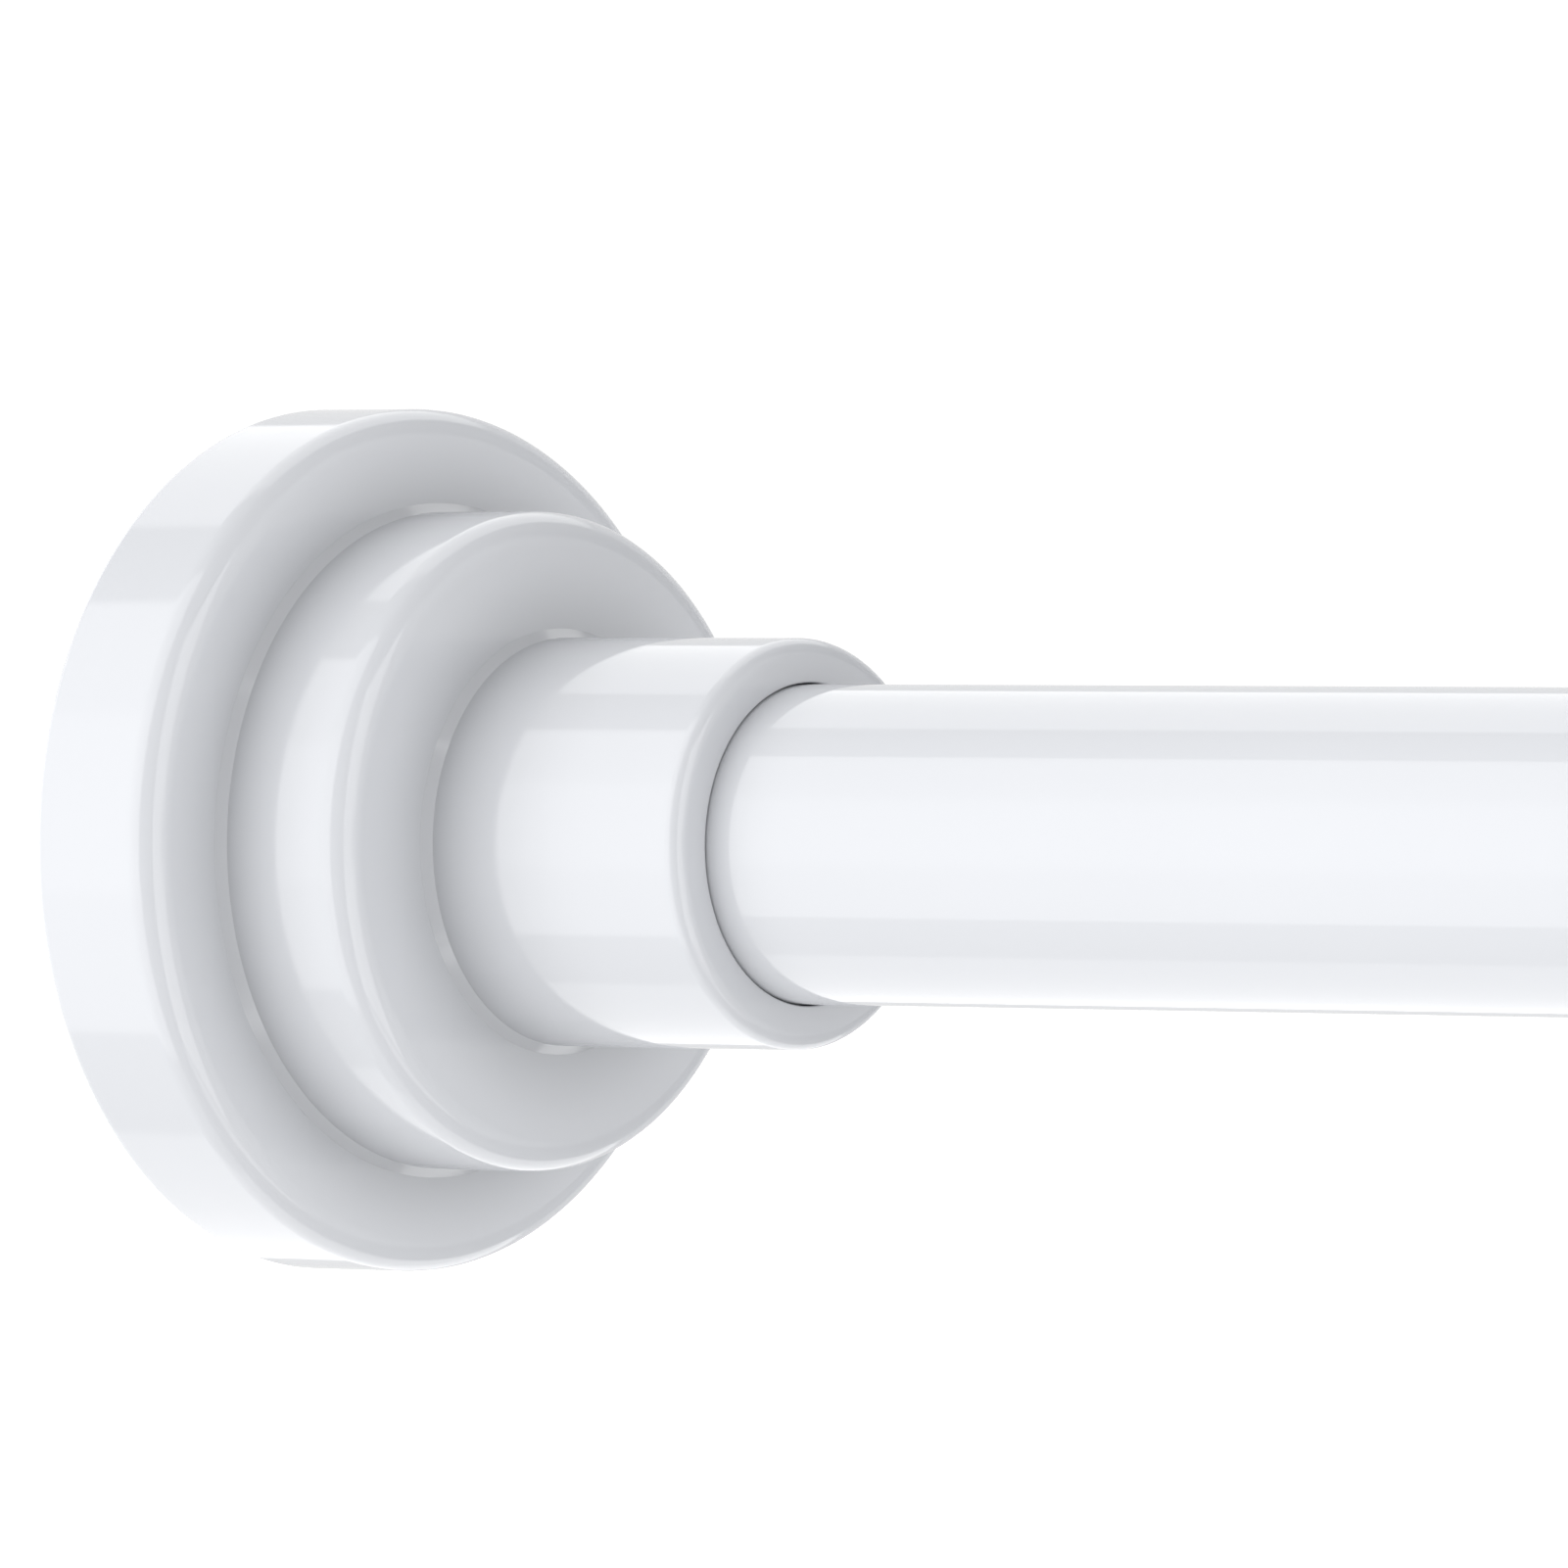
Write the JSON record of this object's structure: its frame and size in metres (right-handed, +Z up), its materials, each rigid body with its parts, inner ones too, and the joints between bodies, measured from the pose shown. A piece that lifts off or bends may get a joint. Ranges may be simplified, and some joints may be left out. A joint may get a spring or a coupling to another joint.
{
  "type": "spring tension rod",
  "caption": "Telescoping round tension rod with stepped white end covers, rubber wall pads and a twist lock with a compression spring inside.",
  "frame": {"origin": "centre of the left foot pad's wall face", "axes": "+X along the rod from the left wall to the right wall, +Z up"},
  "size_m": [0.6604, 0.0692, 0.0692],
  "materials": {
    "cover_plastic": "high-gloss white moulding",
    "tube_coat": "gloss white baked enamel on steel",
    "collar_plastic": "gloss white moulding",
    "pad_rubber": "matt grey rubber",
    "foot_nylon": "natural moulded nylon",
    "guide_nylon": "natural moulded nylon",
    "plug_nylon": "natural moulded nylon",
    "turned_steel": "zinc-plated steel",
    "spring_steel": "oiled spring steel",
    "cone_brass": "as turned",
    "ring_rubber": "matt black rubber"
  },
  "bodies": {
    "outer_body": {"outer_tube": "tube_coat", "tube_collar": "collar_plastic", "left_foot_plug": "foot_nylon", "left_foot_pad": "pad_rubber"},
    "lock_body": {"lock_sleeve": "guide_nylon", "drag_ring": "ring_rubber", "thrust_washer": "turned_steel"},
    "cone_body": {"lock_cone": "cone_brass"},
    "spindle_body": {"spindle": "turned_steel", "retaining_clip": "turned_steel", "tension_spring": "spring_steel"},
    "inner_body": {"inner_tube": "tube_coat", "guide_bush": "guide_nylon", "spring_washer": "turned_steel", "spring_plug": "plug_nylon", "roll_pin": "turned_steel", "right_foot_plug": "foot_nylon", "right_foot_pad": "pad_rubber"},
    "left_cover_body": {"left_cover": "cover_plastic"},
    "right_cover_body": {"right_cover": "cover_plastic"}
  },
  "joints": [
    {"name": "length_slide", "type": "slide", "parent": "outer_body", "child": "lock_body", "axis": [1, 0, 0], "range_m": [0, 0.4064]},
    {"name": "lock_twist", "type": "hinge", "parent": "lock_body", "child": "spindle_body", "pos_m": [0.06, 0, 0], "axis": [-1, 0, 0], "range_deg": [0, 720]},
    {"name": "cone_draw", "type": "slide", "parent": "lock_body", "child": "cone_body", "axis": [1, 0, 0], "range_m": [0, 0.0025]},
    {"name": "spring_push", "type": "slide", "parent": "spindle_body", "child": "inner_body", "axis": [-1, 0, 0], "range_m": [0, 0.025], "stiffness_N_per_m": 4640, "springref_m": -0.006, "deforming": ["tension_spring"]},
    {"name": "left_cover_slide", "type": "slide", "parent": "outer_body", "child": "left_cover_body", "axis": [1, 0, 0], "range_m": [0, 0.466]},
    {"name": "right_cover_slide", "type": "slide", "parent": "inner_body", "child": "right_cover_body", "axis": [-1, 0, 0], "range_m": [0, 0.04]}
  ],
  "couplings": [
    {"joint": "cone_draw", "follows": "lock_twist", "m_per_rad": 0.00019894}
  ]
}
